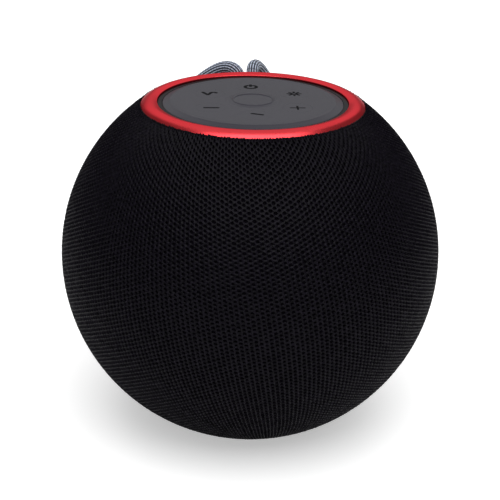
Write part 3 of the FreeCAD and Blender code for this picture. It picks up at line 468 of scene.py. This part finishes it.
def makeLanyard():
    route = [Vector(place) / 1000 + centre for place in lanyard["route"]]
    line, along = evenSteps(splinePoints(route), lanyard["step"])
    tangent = np.gradient(line, axis=0)
    tangent /= np.linalg.norm(tangent, axis=1)[:, None]
    # the outward direction is carried along the line, turned at each step only as far as the line turns
    outward = np.empty_like(line)
    carried = line[0] - np.array(centre)
    for number, ahead in enumerate(tangent):
        carried = carried - (carried @ ahead) * ahead
        carried /= np.linalg.norm(carried)
        outward[number] = carried
    side = np.cross(tangent, outward)
    count = lanyard["around"]
    angle = np.linspace(0, 2 * np.pi, count, endpoint=False)
    rib = angle / (2 * np.pi) * lanyard["ribs"]
    # ribs stand up between grooves, and each rib swells once a stitch, half a stitch later on every other rib
    late = 0.5 * np.floor(rib)[None, :]
    slanted = lanyard["slant"] * np.abs(rib % 1 - 0.5)[None, :]
    swell = 0.5 + 0.5 * np.cos(2 * np.pi * (along[:, None] / lanyard["stitch"] + late + slanted))
    height = np.sin(np.pi * (rib % 1))[None, :] * (1 - lanyard["swell"] + lanyard["swell"] * swell)
    reach = lanyard["radius"] - lanyard["ribHeight"] * (1 - height)
    points = line[:, None, :] + reach[:, :, None] * (
        np.cos(angle)[None, :, None] * outward[:, None, :] + np.sin(angle)[None, :, None] * side[:, None, :])
    faces = gridFaces(len(line), count, False, True)[:, ::-1]
    # cloth coordinates: ribs round the cord and stitches along it, with no jump from the last rib to the first
    column = np.tile(np.arange(count), len(line) - 1)
    row = np.repeat(np.arange(len(line) - 1), count)
    corners = np.stack([np.stack([column + 1, row], 1), np.stack([column + 1, row + 1], 1),
                        np.stack([column, row + 1], 1), np.stack([column, row], 1)], 1).astype(float)
    corners[..., 0] *= lanyard["ribs"] / count
    corners[..., 1] *= (along[1] - along[0]) / lanyard["stitch"]
    piece = addPiece("lanyard_cord_braid", points.reshape(-1, 3), faces, finishes["braided_cord"], "housing",
                     ["lanyard_cord"], 0, corners)
    print("lanyard length", round(float(along[-1]), 4))


makeLanyard()


# ---- knitted cover ----
knit = {"columns": 252, "rowStep": 0.00127, "lean": 8.5, "panels": 3, "holeWide": 0.47, "holeTall": 0.55,
        "holeSpread": 0.16, "dip": 0.00055, "midSink": 0.00009, "fuzz": 0.00005, "stray": 0.9,
        "tooth": 0.00045, "toothMean": 0.4, "toothSpread": 0.6, "edgeGap": 0.00015, "smallest": 1e-11}
scrim = {"radius": 0.0589, "lip": 0.0599, "rows": 80, "segments": 240, "flat": (0.377, 0.106)}
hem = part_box("base_cap")[1].x + knit["edgeGap"]
collar = ball["ringOuter"] + knit["edgeGap"]
topRow = math.sqrt(ball["radius"] ** 2 - collar ** 2)
portLow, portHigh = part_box("port_frame")
anchorLow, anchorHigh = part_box("lanyard_anchor")
windowGap = 0.00012


# points inside a window move sideways to its nearest side, then out to their own distance from the centre
def clearWindows(points):
    radius = np.linalg.norm(points, axis=1)
    low, high = portLow - centre, portHigh - centre
    windows = (((0, 2), 1, (low.x - windowGap, low.z - windowGap), (high.x + windowGap, high.z + windowGap)),
               ((0, 1), 2, (anchorLow.x - windowGap, anchorLow.y - windowGap),
                (anchorHigh.x + windowGap, anchorHigh.y + windowGap)))
    for flat, depth, start, end in windows:
        pair = points[:, flat]
        room = np.stack([pair - np.array(start), np.array(end) - pair], 2).reshape(-1, 4)
        inside = (room > 0).all(1) & (points[:, depth] > 0)
        side = room.argmin(1)
        for number, (axis, limit) in enumerate(((flat[0], start[0]), (flat[0], end[0]),
                                                (flat[1], start[1]), (flat[1], end[1]))):
            chosen = inside & (side == number)
            points[chosen, axis] = limit
        points[inside, depth] = np.sqrt(radius[inside] ** 2 - (points[inside][:, flat] ** 2).sum(1))
    return points


def insideWindows(points):
    low, high = portLow - centre, portHigh - centre
    port = (points[:, 0] > low.x) & (points[:, 0] < high.x) & (points[:, 2] > low.z) \
        & (points[:, 2] < high.z) & (points[:, 1] > 0)
    anchor = (points[:, 0] > anchorLow.x) & (points[:, 0] < anchorHigh.x) & (points[:, 1] > anchorLow.y) \
        & (points[:, 1] < anchorHigh.y) & (points[:, 2] > 0)
    return port | anchor


# lattice (column, row) in twelfths to a point on a sphere: columns lean by a constant angle from the upright
def onBall(lattice, radius):
    height = topRow - lattice[:, 1] / 12 * knit["rowStep"]
    high = np.sqrt(radius ** 2 - collar ** 2)
    low = -np.sqrt(radius ** 2 - hem ** 2)
    height = np.clip(height, low, high)
    lean = math.tan(math.radians(knit["lean"])) * np.arctanh(height / ball["radius"])
    azimuth = lattice[:, 0] / 12 / knit["columns"] * 2 * np.pi - lean
    flat = np.sqrt(radius ** 2 - height ** 2)
    return np.stack([flat * np.sin(azimuth), -flat * np.cos(azimuth), height], 1)


# an even spread of numbers from -1 to 1 that depends on the place in the lattice alone
def scatter(lattice, kind):
    column = lattice[:, 0] % (12 * knit["columns"])
    wave = np.sin(column * 12.9898 + lattice[:, 1] * 78.233 + kind * 37.719) * 43758.5453
    return 2 * (wave - np.floor(wave)) - 1


# staggered holes: each hole is a ring of twelve quads from the yarn's crest down to the hole's rim
def knitPanel(firstColumn, lastColumn):
    rows = int((topRow + math.sqrt(ball["radius"] ** 2 - hem ** 2)) / knit["rowStep"]) + 1
    # one more column on either side gives the border its normals, so that no seam shows between panels
    column, row = np.meshgrid(np.arange(firstColumn - 1, lastColumn + 1), np.arange(rows), indexing="ij")
    hole = np.stack([12 * column, 12 * row + 6 * (column % 2)], 2).reshape(-1, 2)
    hole = hole[~insideWindows(onBall(hole.astype(float), np.full(len(hole), ball["radius"])))]
    border = np.array([(8, 0), (6, 3), (4, 6), (0, 6), (-4, 6), (-6, 3),
                       (-8, 0), (-6, -3), (-4, -6), (0, -6), (4, -6), (6, -3)])
    crest = (hole[:, None, :] + border[None, :, :]).reshape(-1, 2)
    shared, number = np.unique(crest, axis=0, return_inverse=True)
    number = number.reshape(-1, 12)
    corner = (shared[:, 0] % 12 % 4 == 0) & (shared[:, 1] % 6 == 0) & (shared[:, 0] % 12 != 0)
    crestRadius = np.where(corner, ball["radius"], ball["radius"] - knit["midSink"])
    stray = np.stack([scatter(shared, 1), scatter(shared, 2)], 1) * knit["stray"]
    turn = np.arange(12) * np.pi / 6
    oval = np.stack([8 * knit["holeWide"] * np.cos(turn), 6 * knit["holeTall"] * np.sin(turn)], 1)
    grow = 1 + knit["holeSpread"] * scatter(hole, 3)
    rim = (hole[:, None, :] + oval[None, :, :] * grow[:, None, None]).reshape(-1, 2)
    crestRadius = crestRadius - knit["fuzz"] * (1 + scatter(shared, 4))
    points = np.concatenate([onBall(shared + stray, crestRadius),
                             onBall(rim, np.full(len(rim), ball["radius"] - knit["dip"]))])
    # the top edge is frayed: its crests stand up by an uneven amount against the ring
    top = np.flatnonzero(shared[:, 1] <= 0)
    points[top, 2] += knit["tooth"] * (knit["toothMean"] + knit["toothSpread"] * scatter(shared[top], 5))
    points = clearWindows(points)
    inner = len(shared) + np.arange(len(rim)).reshape(-1, 12)
    quads = np.stack([number, inner, np.roll(inner, -1, 1), np.roll(number, -1, 1)], 2)
    flat = quads.reshape(-1, 4)
    across = np.cross(points[flat[:, 2]] - points[flat[:, 0]], points[flat[:, 3]] - points[flat[:, 1]])
    normals = np.zeros_like(points)
    for number in range(4):
        np.add.at(normals, flat[:, number], across)
    normals /= np.linalg.norm(normals, axis=1)[:, None] + 1e-20
    normals[(normals * points).sum(1) < 0] *= -1
    own = np.repeat((hole[:, 0] >= 12 * firstColumn) & (hole[:, 0] < 12 * lastColumn), 12)
    own &= np.linalg.norm(across, axis=1) > knit["smallest"]
    used, faces = np.unique(flat[own], return_inverse=True)
    return points[used] + np.array(centre), faces.reshape(-1, 4), normals[used]


def makeCover():
    # the backing is a zone of a sphere just under the net, with a lip up to the ring's edge
    radius = scrim["radius"]
    high = math.sqrt(radius ** 2 - collar ** 2)
    low = -math.sqrt(radius ** 2 - hem ** 2)
    angle = np.linspace(math.asin(low / radius), math.asin(high / radius), scrim["rows"])
    profile = np.stack([radius * np.cos(angle), radius * np.sin(angle)], 1)
    profile = np.concatenate([profile, [(collar, math.sqrt(scrim["lip"] ** 2 - collar ** 2))]])
    points, faces = lathe(profile, scrim["segments"])
    faces = faces[~insideWindows(points[faces].mean(1))]
    backing = addPiece("fabric_backing", clearWindows(points) + np.array(centre), faces, finishes["scrim"],
                       "housing", ["fabric_sleeve"], 0, closed=False)
    share = knit["columns"] // knit["panels"]
    for number in range(knit["panels"]):
        points, faces, normals = knitPanel(number * share, (number + 1) * share)
        name = "knit_panel_%d" % (number + 1)
        addPiece(name, points, faces, finishes["knit_mesh"], "housing", (), 0,
                               normals=normals)
        print("knit panel", number + 1, len(faces), "quads")


finishes["scrim"] = mouldedFinish("scrim", {"colour": (0.0060, 0.0048, 0.0076), "rough": (0.9, 1.0),
                                            "bump": 0.3, "grain": 4000, "specular": 0.01})
makeCover()


# ---- ring, pad and keys ----
def liftProfile(profile):
    profile = np.array(profile, float)
    profile[:, 1] += ball["centre"]
    return profile


def makeRing():
    ring = {"inner": 0.0295, "outer": ball["ringOuter"], "crest": 0.0315, "swell": 0.0003,
            "innerFall": 0.00045, "outerFall": 0.0016, "edge": 0.0002, "power": 1.9, "segments": 360}
    low, top = ringLow.z, ringHigh.z + ring["swell"]
    # the section swells to a crest: the fall to either edge grows with a power of the way from the crest
    outWay = np.linspace(1, 0, 26)
    outer = np.stack([ring["crest"] + (ring["outer"] - ring["crest"]) * outWay,
                      top - ring["outerFall"] * outWay ** ring["power"]], 1)
    inWay = np.linspace(0, 1, 14)[1:]
    inner = np.stack([ring["crest"] + (ring["inner"] + ring["edge"] - ring["crest"]) * inWay,
                      top - ring["innerFall"] * inWay ** ring["power"]], 1)
    turn = np.linspace(0, np.pi / 2, 6)[1:]
    lip = np.stack([ring["inner"] + ring["edge"] * (1 - np.sin(turn)),
                    top - ring["innerFall"] - ring["edge"] * (1 - np.cos(turn))], 1)
    profile = np.concatenate([[(ring["inner"], low), (ring["outer"], low)], outer, inner, lip])
    points, faces = lathe(profile, ring["segments"], True)
    addPiece("trim_ring_turned", points, faces, finishes["ring_red"], "housing", ["trim_ring"])


keyPlaces = {"power": 90, "light": 30, "volume_up": -30, "play": -90, "volume_down": -150, "link": 150}
padLow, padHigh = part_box("control_pad")
keys = {"circle": 0.01525, "radius": 0.00465, "centreRadius": 0.00845, "clearance": 0.000025,
        "stemRadius": 0.0015, "skirtRadius": 0.0079, "footRadius": 0.0066, "footRise": 0.00025,
        "rimRadius": 0.0062, "rimRise": 0.0005, "dishRadius": 0.0058, "dishRise": 0.00023, "cutPast": 0.001}


def keyCentre(name):
    angle = math.radians(keyPlaces[name])
    return np.array([keys["circle"] * math.cos(angle), keys["circle"] * math.sin(angle), 0])


def makePad():
    pad = {"radius": padHigh.x, "fall": 0.00066, "shoulder": 0.0262, "shoulderFall": 0.00012, "bead": 0.0255,
           "beadRise": 0.00014, "flat": 0.0243, "segments": 360}
    # flat, a low bead, then a shoulder that falls to the side
    profile = softOutline([(0, padLow.z), (pad["radius"], padLow.z),
                           (pad["radius"], padHigh.z - pad["fall"], 0.0002),
                           (pad["shoulder"], padHigh.z - pad["shoulderFall"], 0.0012),
                           (pad["bead"], padHigh.z + pad["beadRise"], 0.0003),
                           (pad["flat"], padHigh.z, 0.0004), (0, padHigh.z)], 10)
    points, faces = lathe(profile, pad["segments"], True)
    piece = addPiece("control_pad_moulded", points, faces, finishes["pad_rubber"], "housing",
                     ["control_pad"])
    places = [(keyCentre(name), keys["radius"]) for name in keyPlaces] + [(np.zeros(3), keys["centreRadius"])]
    cutPoints, cutFaces, count = [], [], 0
    for place, radius in places:
        low, high = padLow.z - keys["cutPast"], padHigh.z + keys["cutPast"]
        column = [(0, low), (radius, low), (radius, high), (0, high)]
        points, faces = lathe(column, 128)
        cutPoints.append(points + place)
        cutFaces.append(faces + count)
        count += len(points)
    mesh = bpy.data.meshes.new("padCutter")
    mesh.from_pydata(np.concatenate(cutPoints).tolist(), [], np.concatenate(cutFaces).tolist())
    weld(mesh)
    cutter = bpy.data.objects.new("padCutter", mesh)
    scene.collection.objects.link(cutter)
    cut = piece.modifiers.new("openings", "BOOLEAN")
    cut.operation = "DIFFERENCE"
    cut.solver = "EXACT"
    cut.object = cutter
    bpy.context.view_layer.update()
    cutMesh = bpy.data.meshes.new_from_object(piece.evaluated_get(bpy.context.evaluated_depsgraph_get()))
    piece.modifiers.clear()
    piece.data = cutMesh
    cutMesh.set_sharp_from_angle(angle=math.radians(35))
    bpy.data.objects.remove(cutter)


def makeKeys():
    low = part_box("key_power")[0].z
    stem = [(0, low), (keys["stemRadius"], low), (keys["stemRadius"], padLow.z)]
    for name in keyPlaces:
        side = keys["radius"] - keys["clearance"]
        profile = stem + [(side, padLow.z), (side, padHigh.z), (0, padHigh.z)]
        points, faces = lathe(profile, 128, True)
        addPiece("key_%s_cap" % name, points + keyCentre(name), faces, finishes["pad_rubber"], "key_" + name,
                 ["key_" + name])
    # a gentle skirt up to a steep foot, a rim and a shallow dish inside it
    side = keys["centreRadius"] - keys["clearance"]
    profile = softOutline(stem + [(side, padLow.z), (side, padHigh.z),
                                  (keys["skirtRadius"], padHigh.z, 0.004),
                                  (keys["footRadius"], padHigh.z + keys["footRise"], 0.0002),
                                  (keys["rimRadius"], padHigh.z + keys["rimRise"], 0.00014),
                                  (keys["dishRadius"], padHigh.z + keys["dishRise"], 0.0002),
                                  (0, padHigh.z + keys["dishRise"])], 8)
    points, faces = lathe(profile, 200, True)
    addPiece("key_centre_cap", points, faces, finishes["pad_rubber"], "key_centre",
             ["key_centre"])


# a stroke of constant width along a line of points, with half-round ends: a thin plate of ink
def stroke(points, width, low, high):
    points = np.asarray(points, float)
    along = np.gradient(points, axis=0)
    along /= np.linalg.norm(along, axis=1)[:, None]
    side = np.stack([-along[:, 1], along[:, 0]], 1) * width / 2
    turn = np.linspace(-np.pi / 2, np.pi / 2, 9)[1:-1]
    ahead, aside = np.cos(turn)[:, None], np.sin(turn)[:, None]
    endCap = points[-1] + width / 2 * (ahead * along[-1] + aside * side[-1] / (width / 2))
    startCap = points[0] - width / 2 * (ahead * along[0] + aside * side[0] / (width / 2))
    outline = np.concatenate([points - side, endCap, (points + side)[::-1], startCap])
    count = len(outline)
    top = np.column_stack([outline, np.full(count, high)])
    bottom = np.column_stack([outline, np.full(count, low)])
    ring = np.arange(count)
    after = np.roll(ring, -1)
    sides = np.stack([ring + count, after + count, after, ring], 1)
    # caps: the plate is bridged from its right side to its left side
    right = np.arange(len(points))
    left = count - len(turn) - 1 - right
    bridge = np.stack([right[:-1], right[1:], left[1:], left[:-1]], 1)
    faces = [list(face) for face in sides] + [list(face) for face in bridge] + \
        [list(face[::-1] + count) for face in bridge]
    endFan = [len(points) - 1] + list(range(len(points), len(points) + len(turn) + 1))
    startFan = [left[0]] + list(range(left[0] + 1, count)) + [0]
    faces += [endFan, startFan]
    faces += [[index + count for index in fan[::-1]] for fan in (endFan, startFan)]
    return np.concatenate([top, bottom]), faces


def arcPoints(middle, radius, start, end, count=40):
    turn = np.radians(np.linspace(start, end, count))
    return np.array(middle) + radius * np.stack([np.cos(turn), np.sin(turn)], 1)


glyphs = {
    "power": [arcPoints((0, 0), 0.0018, 125, 415), [(0, 0.0006), (0, 0.0023)]],
    "light": [arcPoints((0, 0), 0.00085, 0, 350, 30)] + [
        [(reach * math.cos(turn), reach * math.sin(turn)) for reach in (0.0013, 0.0021)]
        for turn in np.radians(np.arange(0, 360, 45))],
    "volume_up": [[(-0.0021, 0), (0.0021, 0)], [(0, -0.0017), (0, 0.0017)]],
    "play": [[(-0.0009, 0.0015), (0.0021, 0.0003)]],
    "volume_down": [[(-0.0018, -0.0002), (0.0022, -0.0002)]],
    "link": [[(-0.0021, 0.0013), (-0.0006, -0.0014)], [(-0.0006, -0.0014), (0.0003, 0.0004)],
             arcPoints((0.0012, 0.0004), 0.0009, 180, 20, 16)],
}


def printGlyphs():
    ink = {"width": 0.00105, "fineWidth": 0.00068, "proud": 0.000012, "layer": 2e-6, "depth": 0.0002}
    for name, strokes in glyphs.items():
        allPoints, allFaces, count = [], [], 0
        for layer, line in enumerate(strokes):
            line = np.asarray(line, float)
            if len(line) == 2:
                line = line[0] + (line[1] - line[0]) * np.linspace(0, 1, 5)[:, None]
            width = ink["fineWidth"] if name in ("light", "volume_up") else ink["width"]
            points, faces = stroke(line, width, padHigh.z - ink["depth"],
                                   padHigh.z + ink["proud"] + layer * ink["layer"])
            allPoints.append(points + keyCentre(name))
            allFaces += [[corner + count for corner in face] for face in faces]
            count += len(points)
        mesh = bpy.data.meshes.new("ink_" + name)
        mesh.from_pydata(np.concatenate(allPoints).tolist(), [], allFaces)
        mesh.materials.append(finishes["key_ink"])
        piece = bpy.data.objects.new("ink_" + name, mesh)
        scene.collection.objects.link(piece)
        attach(piece, "key_" + name)


def makeGuide():
    guide = {"inner": 0.02796, "outer": 0.02944, "sink": 0.0007, "edge": 0.00012}
    low, high = ringLow.z, ringHigh.z - guide["sink"]
    points, faces = lathe(softOutline([(guide["inner"], low), (guide["outer"], low),
                                       (guide["outer"], high, guide["edge"]),
                                       (guide["inner"], high, guide["edge"])], 5), 256, True)
    addPiece("light_guide_ring", points, faces, finishes["smoked_guide"], "housing",
             ["light_guide"])


makeRing()
makeGuide()
makePad()
makeKeys()
printGlyphs()
print("ring, pad and keys made")


# ---- foot and base ----
def makeBase():
    foot = {"radius": 0.022, "thickness": 0.0016, "edge": 0.0005}
    cap = {"radius": 0.0242, "inner": 0.0215, "thickness": 0.0025, "edge": 0.0003}
    points, faces = lathe(softOutline([(0, 0), (foot["radius"], 0, foot["edge"]),
                                       (foot["radius"], foot["thickness"]), (0, foot["thickness"])]),
                          200, True)
    addPiece("foot_pad_moulded", points, faces, finishes["foot_rubber"], "housing",
             ["foot_pad"])
    low, high = foot["thickness"], foot["thickness"] + cap["thickness"]
    points, faces = lathe(softOutline([(cap["inner"], low), (cap["radius"], low, cap["edge"]),
                                       (cap["radius"], high), (cap["inner"], high)]), 200, True)
    addPiece("base_rim", points, faces, finishes["black_plastic"], "housing")


# ---- charging port ----
# a quarter turn from a wall onto a face: how far in from the outline, and how far short of the face
def quarter(radius, steps=5):
    turn = np.linspace(0, np.pi / 2, steps)
    return zip(radius * (1 - np.cos(turn)), radius * (1 - np.sin(turn)))


def roundTo(half, low, high, corner, face, edge, outward=False):
    side = -1 if outward else 1
    return [(half - side * inset, low + side * inset, high - side * inset, max(corner - side * inset, 0.0001),
             "ball", face - short) for inset, short in quarter(edge)]


def closeUp(half, low, high, corner, face, count=7):
    middle = (low + high) / 2
    return [(half * part, middle + (low - middle) * part, middle + (high - middle) * part, corner * part,
             "ball", face) for part in np.linspace(1, 0, count)[1:]]


def makePort():
    port = {"half": 0.010, "low": -0.0381, "high": -0.0259, "corner": 0.0014, "face": 0.05985, "edge": 0.0004,
            "floor": 0.0415, "back": 0.0385}
    window = {"half": 0.0076, "low": -0.0371, "high": -0.0274, "corner": 0.0009, "edge": 0.0002}
    hole = {"half": 0.00457, "low": -0.03265, "high": -0.02935, "corner": 0.0016}
    outer = (port["half"], port["low"], port["high"], port["corner"])
    inner = (window["half"], window["low"], window["high"], window["corner"])
    socket = (hole["half"], hole["low"], hole["high"], hole["corner"])
    rings = [(*outer, "plane", port["back"])] + roundTo(*outer, port["face"], port["edge"])
    rings += roundTo(*inner, port["face"], window["edge"], True)[::-1]
    rings += [(*inner, "plane", port["floor"]), (*socket, "plane", port["floor"]),
              (*socket, "plane", port["back"])]
    points, faces = loft(rings, True)
    addPiece("port_frame_moulded", points + np.array(centre), faces, finishes["black_plastic"], "housing",
             ["port_frame"])

    # the door is a piece of two balls' surfaces with round edges, and a barrel along its lower side
    door = {"half": 0.00745, "low": -0.0365, "high": -0.02755, "corner": 0.0008, "face": 0.0598,
            "back": 0.0582, "edge": 0.00025}
    outline = (door["half"], door["low"], door["high"], door["corner"])
    rings = closeUp(*outline, door["back"])[::-1] + [(*outline, "ball", door["back"])]
    rings += roundTo(*outline, door["face"], door["edge"])
    last = rings[-1]
    rings += closeUp(last[0], last[1], last[2], last[3], door["face"])
    doorPoints, doorFaces = loft(rings)
    barrel = {"radius": 0.0013, "bore": 0.00055, "half": 0.00745, "edge": 0.00025}
    hinge = np.array((0, 0.0468, -0.035))
    points, faces = lathe(softOutline([(barrel["bore"], -barrel["half"]),
                                       (barrel["radius"], -barrel["half"], barrel["edge"]),
                                       (barrel["radius"], barrel["half"], barrel["edge"]),
                                       (barrel["bore"], barrel["half"])]), 40, True)
    points = points[:, [2, 0, 1]] + hinge
    allPoints = np.concatenate([doorPoints, points]) + np.array(centre)
    addPiece("port_flap_moulded", allPoints, np.concatenate([doorFaces, faces + len(doorPoints)]),
             finishes["foot_rubber"], "flap", ["port_flap"])


# ---- lanyard anchor: a small black block let into the cover behind the ring ----
def makeAnchor():
    block = {"half": 0.006, "low": 0.0365, "high": 0.0425, "corner": 0.0012, "face": 0.05985, "edge": 0.0004,
             "back": 0.0366}
    outline = (block["half"], block["low"], block["high"], block["corner"])
    # the back closes in on a tiny square in its middle
    rings = [(0.0001, 0.0394, 0.0396, 0.0001, "plane", block["back"]), (*outline, "plane", block["back"])]
    rings += roundTo(*outline, block["face"], block["edge"])
    last = rings[-1]
    rings += closeUp(last[0], last[1], last[2], last[3], block["face"])
    points, faces = loft(rings)
    addPiece("lanyard_anchor_moulded", points[:, [0, 2, 1]] + np.array(centre), faces,
             finishes["black_plastic"], "housing", ["lanyard_anchor"])


makeBase()
makePort()
makeAnchor()
print("base, port and anchor made")
